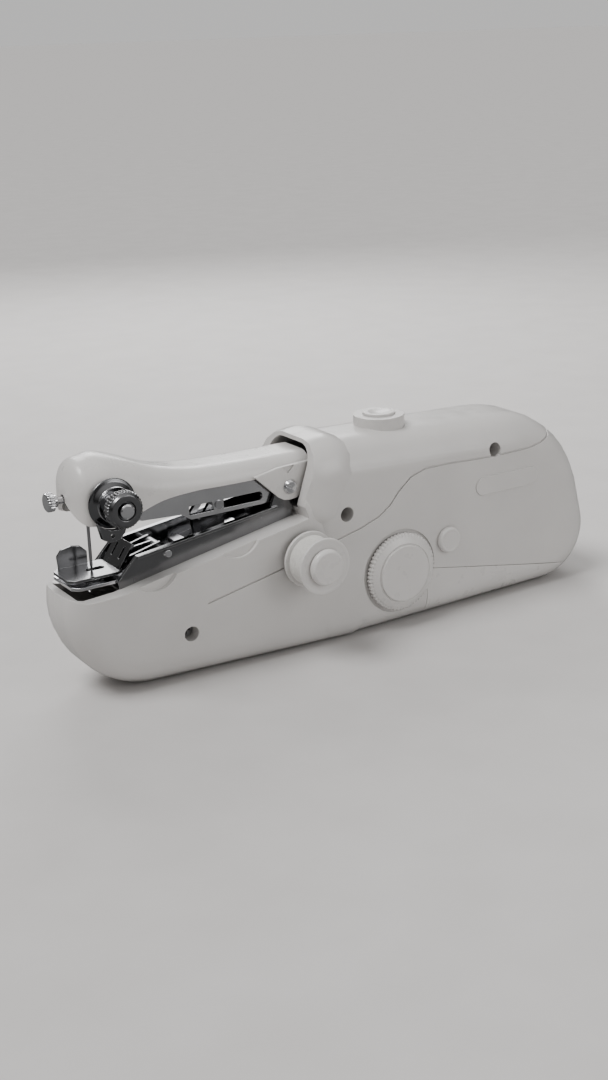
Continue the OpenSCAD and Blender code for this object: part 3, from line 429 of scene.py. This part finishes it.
def build_plain_turned():
    base, depth, edge = round_piece("bobbin_cap")
    outline = soften([(SPINDLE_BORE, 0), (edge, 0), (edge, 0.62 * depth), (edge * 0.88, depth),
                      (0, 0.96 * depth), (0, 0.7 * depth), (SPINDLE_BORE, 0.7 * depth)], 0.4 * MM)
    turned("bobbin_cap_disc", "bobbin_cap", "housing", base, OUT, outline, 96)

    base, depth, edge = round_piece("bobbin_washer")
    outline = soften([(SPINDLE_BORE, 0), (edge, 0), (edge, depth), (SPINDLE_BORE, depth)], 0.5 * MM)
    turned("felt_washer", "bobbin_washer", "housing", base, OUT, outline, 72,
           lambda radius, along, angle: 0.06 * MM * math.sin(17 * angle) * math.sin(5 * angle + 2))

    base, depth, edge = round_piece("jack_cap")
    lip = depth - 1.85 * MM
    outline = soften([(0, 0.2 * MM), (2.7 * MM, 0.2 * MM), (2.7 * MM, lip), (edge, lip),
                      (edge, depth - 0.5 * MM), (edge - 0.7 * MM, depth),
                      (edge - 1.2 * MM, depth - 0.2 * MM), (0, depth - 0.05 * MM)], 0.3 * MM)
    turned("jack_cap_plug", "jack_cap", "jack_plug", base, OUT, outline, 96)


def build_tension_set():
    base, depth, rim = round_piece("tension_base")
    bore = 1.55 * MM
    outline = soften([(bore, 0), (rim, 0), (rim, 0.35 * MM), (rim - 0.3 * MM, 0.6 * MM),
                      (rim * 0.86, 0.75 * MM), (rim * 0.68, 0.93 * depth), (rim * 0.6, depth),
                      (bore, depth)], 0.35 * MM)
    turned("tension_dish", "tension_base", "arm", base, OUT, outline, 96)

    base, depth, rim = round_piece("tension_discs")
    thin = depth * 0.28
    dished = [(bore, 0.32 * depth), (rim * 0.7, 0.25 * depth), (rim, 0), (rim, thin * 0.35),
              (rim * 0.72, 0.44 * depth), (bore, 0.48 * depth)]
    flipped = [(r, depth - d) for r, d in reversed(dished)]
    pair = turned("tension_disc_inner", None, None, base, OUT, dished, 72)
    other = turned("tension_disc_outer", None, None, base, OUT, flipped, 72)
    bm = bmesh.new()
    bm.from_mesh(pair.data)
    bm.from_mesh(other.data)
    bm.to_mesh(pair.data)
    bm.free()
    bpy.data.objects.remove(other)
    pair.name = "tension_disc_pair"
    finish(pair, "tension_discs", "arm")

    base, depth, outer = round_piece("tension_spring")
    wire = 0.36 * MM
    coil("tension_coil", "tension_spring", "arm", base, OUT, outer - wire, wire, depth, 3.5)

    base, depth, rim = round_piece("tension_nut")
    thread_bore, recess = 1.56 * MM, 2.9 * MM
    outline = soften([(thread_bore, 0), (rim * 0.93, 0), (rim, 0.3 * MM), (rim, 0.66 * depth),
                      (rim * 0.93, 0.72 * depth), (rim * 0.87, 0.8 * depth), (rim * 0.82, depth),
                      (recess, depth), (recess, 0.85 * depth), (thread_bore, 0.85 * depth)], 0.25 * MM)
    turned("tension_thumb_nut", "tension_nut", "tension_knob", base, OUT, outline, 288,
           knurl(rim * 0.95, 36, 0.35 * MM))

    base, depth = face_of("tension_stud", OUT)
    stud = 1.5 * MM
    outline = [(0, 0), (2.2 * MM, 0), (2.2 * MM, 1 * MM), (stud, 1 * MM), (stud, depth - 1 * MM),
               (2.3 * MM, depth - 1 * MM), (2.3 * MM, depth - 0.5 * MM), (1.9 * MM, depth - 0.12 * MM),
               (0, depth)]
    turned("tension_stud_post", "tension_stud", "arm", base, OUT, outline, 64)


def build_needle_screw():
    forward = -X_AXIS
    base, depth = face_of("needle_screw", forward)
    low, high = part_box("needle_screw")
    head = (high.z - low.z) / 2
    shank, collar = 1.15 * MM, 1.9 * MM
    outline = soften([(0, 0), (shank, 0), (shank, depth - 3.6 * MM), (collar, depth - 3.55 * MM),
                      (collar, depth - 2.4 * MM), (head, depth - 2.3 * MM), (head, depth - 0.4 * MM),
                      (head - 0.6 * MM, depth), (0, depth - 0.15 * MM)], 0.25 * MM)

    def threads(radius, along, angle):
        if radius > head * 0.9:
            return -0.3 * MM * (0.5 + 0.5 * math.cos(20 * angle)) ** 2
        return 0
    turned("needle_thumb_screw", "needle_screw", "thumb_screw", base, forward, outline, 160, threads)


def build_button_spring():
    """Spring under the power button, given a mesh of its own."""
    base, depth = face_of("button_spring", Z_AXIS)
    low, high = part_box("button_spring")
    outer, wire = (high.x - low.x) / 2, 0.3 * MM
    spring = coil("button_coil", "button_spring", "housing", base, Z_AXIS, outer - wire, wire, depth, 3.5)
    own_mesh(spring)


build_hand_wheel()
build_bobbin()
build_bobbin_thread()
build_plain_turned()
build_tension_set()
build_needle_screw()
build_button_spring()

# ------------------------------------------------------------------ smooth shading of moulded pieces

NEAR_ENOUGH = 0.4 * MM
ALIKE = math.cos(math.radians(26))


class SmoothForm:
    """Fine mesh of a moulded form, which says how its true surface leans at any point."""

    def __init__(self, bm):
        bmesh.ops.recalc_face_normals(bm, faces=bm.faces)
        bm.verts.index_update()
        self.lean = [sum((f.normal * f.calc_area() for f in v.link_faces), Vector()).normalized()
                     for v in bm.verts]
        self.points = [v.co.copy() for v in bm.verts]
        self.faces = [[v.index for v in f.verts] for f in bm.faces]
        self.tree = BVHTree.FromPolygons(self.points, self.faces)
        bm.free()

    def at(self, point):
        """(distance, direction the surface faces) at the nearest point of the form."""
        spot, facing, index, distance = self.tree.find_nearest(point)
        corners = self.faces[index]
        if len(corners) > 4:
            return distance, facing
        weights = poly_3d_calc([self.points[k] for k in corners], spot)
        lean = sum((self.lean[k] * w for k, w in zip(corners, weights)), Vector())
        return distance, lean.normalized()


def lend_normals(obj, forms):
    """Shades every face that lies on one of the forms like the form's own smooth surface."""
    mesh = obj.data
    bpy.context.view_layer.update()
    normals = [corner.vector.copy() for corner in mesh.corner_normals]
    for face in mesh.polygons:
        nearest, leans = NEAR_ENOUGH, []
        for form in forms:
            found = [form.at(mesh.vertices[k].co) for k in face.vertices]
            reach = max(distance for distance, lean in found)
            alike = sum(lean.dot(face.normal) for distance, lean in found) / len(found)
            if reach < nearest and alike > ALIKE:
                nearest, leans = reach, [lean for distance, lean in found]
        for corner, lean in zip(face.loop_indices, leans):
            normals[corner] = lean if lean.dot(face.normal) > ALIKE else face.normal.copy()
    mesh.normals_split_custom_set(normals)


# ------------------------------------------------------------------ arm cover

# Distance behind the nose, half width, top and bottom edge above the cover's lowest point, top corner
# radius, all in millimetres.
COVER_SECTIONS = [(0, 10.3, 23.6, 4.8, 9.4), (5, 10.3, 23.8, 4.8, 9.4), (11, 11, 24.7, 4, 10),
                  (19, 10.8, 22.1, 5.8, 9), (29, 10.2, 18.1, 8.4, 7.6), (41, 10, 15.6, 9.2, 6.3),
                  (59, 10, 14.6, 9.2, 5.8), (82.4, 10, 14.3, 9.2, 5.5)]
NOSE_LENGTH = 5.0
NOSE_HEIGHT = 12.3
NOSE_POWER = 2.2
COVER_WALL = 1.4 * MM
# Side ear that carries the pivot, from the pivot's axis, in millimetres.
EAR = [(-13, 5.4), (-4.2, -3.0), (-2.2, -4.1), (0.2, -4.4), (2.6, -4.1), (4.2, -3.0), (9.3, 4.8), (9.3, 7.6),
       (-4.6, 7)]
EAR_FACES = (9.88 * MM, 11.2 * MM)
# Shallow nick over the pivot on the wheel side, from the pivot's axis, in millimetres.
NOTCH = [(-2.8, 6.8), (1.8, 7), (-0.6, 4.6)]
NOTCH_FLOOR = -10.7 * MM
PIVOT_BORE, STUD_BORE, THUMB_BORE = 1.56 * MM, 1.53 * MM, 1.6 * MM
COVER_REAR_GAP = 0.6
NOSE_STATIONS, BODY_STATIONS = 14, 60


def smooth_between(rows, x):
    """Row of values at x, on a smooth curve through the given rows."""
    last = len(rows) - 1
    i = max(k for k in range(last) if rows[k][0] <= x or k == 0)
    p0, p1, p2, p3 = rows[max(i - 1, 0)], rows[i], rows[i + 1], rows[min(i + 2, last)]
    span = p2[0] - p1[0]
    t = (x - p1[0]) / span
    out = []
    for a, b, c, d in zip(p0[1:], p1[1:], p2[1:], p3[1:]):
        m1 = (c - a) / (p2[0] - p0[0]) * span
        m2 = (d - b) / (p3[0] - p1[0]) * span
        out.append((2 * t ** 3 - 3 * t ** 2 + 1) * b + (t ** 3 - 2 * t ** 2 + t) * m1
                   + (3 * t ** 2 - 2 * t ** 3) * c + (t ** 3 - t ** 2) * m2)
    return out


def cover_section(back, sides=8, arc=12):
    """Points (y, z) of the cover's outer section, from one lower edge over the top to the other."""
    half, top, bottom, corner = smooth_between(COVER_SECTIONS, back)
    if back < NOSE_LENGTH:
        swell = (1 - ((NOSE_LENGTH - back) / NOSE_LENGTH) ** NOSE_POWER) ** (1 / NOSE_POWER)
        half, corner = half * swell, corner * swell
        top = NOSE_HEIGHT + (top - NOSE_HEIGHT) * swell
        bottom = NOSE_HEIGHT + (bottom - NOSE_HEIGHT) * swell
    low = min(bottom, top - corner)
    right_side = [(half, low + (top - corner - low) * i / sides) for i in range(sides)]
    for i in range(arc + 1):
        a = math.pi / 2 * i / arc
        right_side.append((half - corner + corner * math.cos(a), top - corner + corner * math.sin(a)))
    crown = [((half - corner) * k, top) for k in (0.5, 0, -0.5)]
    return right_side + crown + [(-y, z) for y, z in reversed(right_side)]


def build_arm_cover():
    low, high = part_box("arm_cover")
    pivot = Vector(next(j["pos_m"] for j in frame["joints"] if j["name"] == "needle_arm"))
    length = (high.x - low.x) / MM - COVER_REAR_GAP
    stations = [NOSE_LENGTH * (1 - math.cos(math.pi / 2 * k / NOSE_STATIONS))
                for k in range(1, NOSE_STATIONS)]
    stations += [NOSE_LENGTH + (length - NOSE_LENGTH) * (k / BODY_STATIONS) for k in range(BODY_STATIONS + 1)]
    verts, faces = [], []
    for back in stations:
        for y, z in cover_section(back):
            verts.append((low.x + back * MM, y * MM, low.z + z * MM))
    count = len(verts) // len(stations)
    for i in range(len(stations) - 1):
        for k in range(count - 1):
            a = i * count + k
            faces.append((a, a + 1, a + count + 1, a + count))
    faces.append(tuple(range(count)))
    cover = place("arm_cover_shell", None, None, verts, faces)
    bm = bmesh.new()
    bm.from_mesh(cover.data)
    form = SmoothForm(bm)
    wall = cover.modifiers.new("wall", "SOLIDIFY")
    wall.thickness = COVER_WALL
    wall.offset = -1
    wall.use_even_offset = False
    bpy.context.view_layer.update()
    cover.data = bpy.data.meshes.new_from_object(cover.evaluated_get(bpy.context.evaluated_depsgraph_get()))
    cover.modifiers.clear()
    ear = [(pivot.x + x * MM, pivot.z + z * MM) for x, z in EAR]
    for side in (-1, 1):
        y0, y1 = sorted(side * y for y in EAR_FACES)
        joined(cover, slab(ear, y0, y1, 0.25 * MM), "UNION")
    joined(cover, bar(pivot, Y_AXIS, PIVOT_BORE, 40 * MM), "DIFFERENCE")
    stud = centre_of("tension_stud")
    joined(cover, bar(Vector((stud.x, -15 * MM, stud.z)), Y_AXIS, STUD_BORE, 20 * MM), "DIFFERENCE")
    thumb = centre_of("needle_screw")
    joined(cover, bar(Vector((low.x, 0, thumb.z)), X_AXIS, THUMB_BORE, 10 * MM), "DIFFERENCE")
    notch = [(pivot.x + x * MM, pivot.z + z * MM) for x, z in NOTCH]
    joined(cover, slab(notch, -20 * MM, NOTCH_FLOOR), "DIFFERENCE")
    finish(cover, "arm_cover", "arm")
    lend_normals(cover, (form,))


build_arm_cover()

# ------------------------------------------------------------------ moulded shells

# Round-edged discs whose hulls make the body, jaw and collar: x, z, radius, half width, edge radius, and the
# arc they cover in degrees. Millimetres, as in the CAD.
BODY_DISCS = [(60, 26, 39.5, 17.5, 12, 180), (80.5, 19.5, 19.5, 17.5, 9, 360), (-14, 55, 13, 17.5, 12, 360),
              (-14, 8, 8, 17.5, 7, 360)]
JAW_DISCS = [(-76, 28.7, 28.7, 14, 9.5, 360), (-30, 40, 16, 17.5, 6, 360), (-6, 10, 10, 17.5, 6, 360)]
COLLAR_DISCS = [(-15, 56.2, 13, 18, 12, 360), (-11, 56.8, 13, 18, 12, 360), (-16, 48, 9, 18, 7, 360)]


def disc_hull(discs, segments=144, steps=14):
    """Finely faceted hull of some discs."""
    bm = bmesh.new()
    for x, z, radius, half, edge, arc in discs:
        for i in range(steps + 1):
            bend = math.pi / 2 * i / steps
            r = radius - edge + edge * math.cos(bend)
            y = half - edge + edge * math.sin(bend)
            for k in range(segments):
                turn = math.radians(arc) * k / (segments if arc == 360 else segments - 1)
                for side in (-y, y):
                    bm.verts.new(((x + r * math.cos(turn)) * MM, side * MM, (z + r * math.sin(turn)) * MM))
    hull = bmesh.ops.convex_hull(bm, input=bm.verts)
    inside = {v for v in hull["geom_interior"] + hull["geom_unused"] if isinstance(v, bmesh.types.BMVert)}
    bmesh.ops.delete(bm, geom=list(inside), context="VERTS")
    bmesh.ops.dissolve_limit(bm, angle_limit=math.radians(0.2), verts=bm.verts, edges=bm.edges)
    return bm


def build_shell(node, body, forms):
    """The CAD shell with its facets shaded as the smooth surface that they stand for."""
    mesh = nodes[node].data.copy()
    obj = bpy.data.objects.new(node + "_moulding", mesh)
    bpy.context.scene.collection.objects.link(obj)
    bm = bmesh.new()
    bm.from_mesh(mesh)
    bmesh.ops.remove_doubles(bm, verts=bm.verts, dist=2e-6)
    bm.to_mesh(mesh)
    bm.free()
    finish(obj, node, body)
    lend_normals(obj, forms)


shell_forms = [SmoothForm(disc_hull(discs)) for discs in (BODY_DISCS, JAW_DISCS, COLLAR_DISCS)]
build_shell("left_housing", "housing", shell_forms)
build_shell("right_housing", "housing", shell_forms)
build_shell("battery_cover", "battery_door", shell_forms[:1])

# ------------------------------------------------------------------ stage, light, camera

def lamp(name, kind, spot, target, power, **settings):
    """Light at `spot` that faces `target`."""
    light = bpy.data.lights.new(name, kind)
    light.energy = power
    for key, value in settings.items():
        setattr(light, key, value)
    obj = bpy.data.objects.new(name, light)
    obj.location = spot
    obj.rotation_euler = (Vector(target) - Vector(spot)).to_track_quat("-Z", "Y").to_euler()
    bpy.context.scene.collection.objects.link(obj)


middle = (cad_bounds[0] + cad_bounds[1]) / 2
lamp("key", "SUN", (-0.45, 0.05, 0.9), middle, 1.6, angle=math.radians(28))
lamp("fill", "AREA", (0.45, -0.8, 0.35), middle, 1.6, size=0.5)
lamp("rim", "AREA", (0.25, 0.6, 0.45), middle, 2.0, size=0.4)

AZIMUTH = math.radians(-32)
ELEVATION = math.radians(19)
ROLL = math.radians(2)
DISTANCE = 0.5
LENS = 88
AIM = Vector((-0.0115, 0, -0.006))

FLOOR_RADIUS = 40.0
FLOOR_SIDES = 96
FLOOR_GAP = 0.0002
ROOM_LIGHT = 0.42
ROOM_SEEN = 0.56
floor = place("floor", None, None,
              [(FLOOR_RADIUS * math.cos(2 * math.pi * k / FLOOR_SIDES),
                FLOOR_RADIUS * math.sin(2 * math.pi * k / FLOOR_SIDES), 0) for k in range(FLOOR_SIDES)],
              [tuple(range(FLOOR_SIDES))])
floor.location.z = cad_bounds[0].z - FLOOR_GAP
paper = Graph("floor_paper")
fleck = paper.ramp(paper.noise(40, 4), 0.3, 0.7)
pale = paper.mix(fleck, (0.6, 0.585, 0.575, 1), (0.63, 0.615, 0.605, 1))
# Painted reflection: glossy rays see the floor as dark grey, so metal mirrors a dark floor instead of the pale
# one.
seen_by = paper.add("ShaderNodeLightPath")
paper.put(paper.shader.inputs["Base Color"],
          paper.mix(seen_by.outputs["Is Glossy Ray"], pale, (0.2, 0.2, 0.2, 1)))
paper.put(paper.shader.inputs["Roughness"], 0.85)
floor.data.materials.append(paper.material)

# Plain room: pale to the eye, but metal mirrors a darker room that brightens overhead.
world = bpy.data.worlds.new("studio")
bpy.context.scene.world = world
world.use_nodes = True
sky = world.node_tree
background = sky.nodes["Background"]
background.inputs["Color"].default_value = (0.9, 0.895, 0.89, 1)
path = sky.nodes.new("ShaderNodeLightPath")
height = sky.nodes.new("ShaderNodeSeparateXYZ")
where = sky.nodes.new("ShaderNodeTexCoord")
sky.links.new(where.outputs["Generated"], height.inputs[0])
dark_room = sky.nodes.new("ShaderNodeMapRange")
for key, value in {"From Min": 0.1, "From Max": 0.9, "To Min": 0.03, "To Max": 0.75}.items():
    dark_room.inputs[key].default_value = value
sky.links.new(height.outputs["Z"], dark_room.inputs["Value"])
choice = sky.nodes.new("ShaderNodeMix")
choice.inputs[2].default_value = ROOM_LIGHT
sky.links.new(path.outputs["Is Glossy Ray"], choice.inputs[0])
sky.links.new(dark_room.outputs[0], choice.inputs[3])
seen = sky.nodes.new("ShaderNodeMix")
seen.inputs[3].default_value = ROOM_SEEN
sky.links.new(path.outputs["Is Camera Ray"], seen.inputs[0])
sky.links.new(choice.outputs[0], seen.inputs[2])
sky.links.new(seen.outputs[0], background.inputs["Strength"])

back = Vector((math.sin(AZIMUTH) * math.cos(ELEVATION), -math.cos(AZIMUTH) * math.cos(ELEVATION),
               math.sin(ELEVATION)))
right = Vector((math.cos(AZIMUTH), math.sin(AZIMUTH), 0))
up = back.cross(right)
right_rolled = right * math.cos(ROLL) - up * math.sin(ROLL)
up_rolled = right * math.sin(ROLL) + up * math.cos(ROLL)
target = Vector((middle.x + AIM.x, 0, middle.z + AIM.z))
camera_data = bpy.data.cameras.new("camera")
camera_data.sensor_fit = "HORIZONTAL"
camera_data.sensor_width = 36
camera_data.lens = LENS
camera_data.clip_start = 0.01
camera = bpy.data.objects.new("camera", camera_data)
camera.matrix_world = Matrix.Translation(target + back * DISTANCE) @ Matrix(
    (right_rolled, up_rolled, back)).transposed().to_4x4()
bpy.context.scene.collection.objects.link(camera)
bpy.context.scene.camera = camera
bpy.context.scene.view_settings.view_transform = "AgX"
bpy.context.scene.view_settings.look = "AgX - Medium High Contrast"
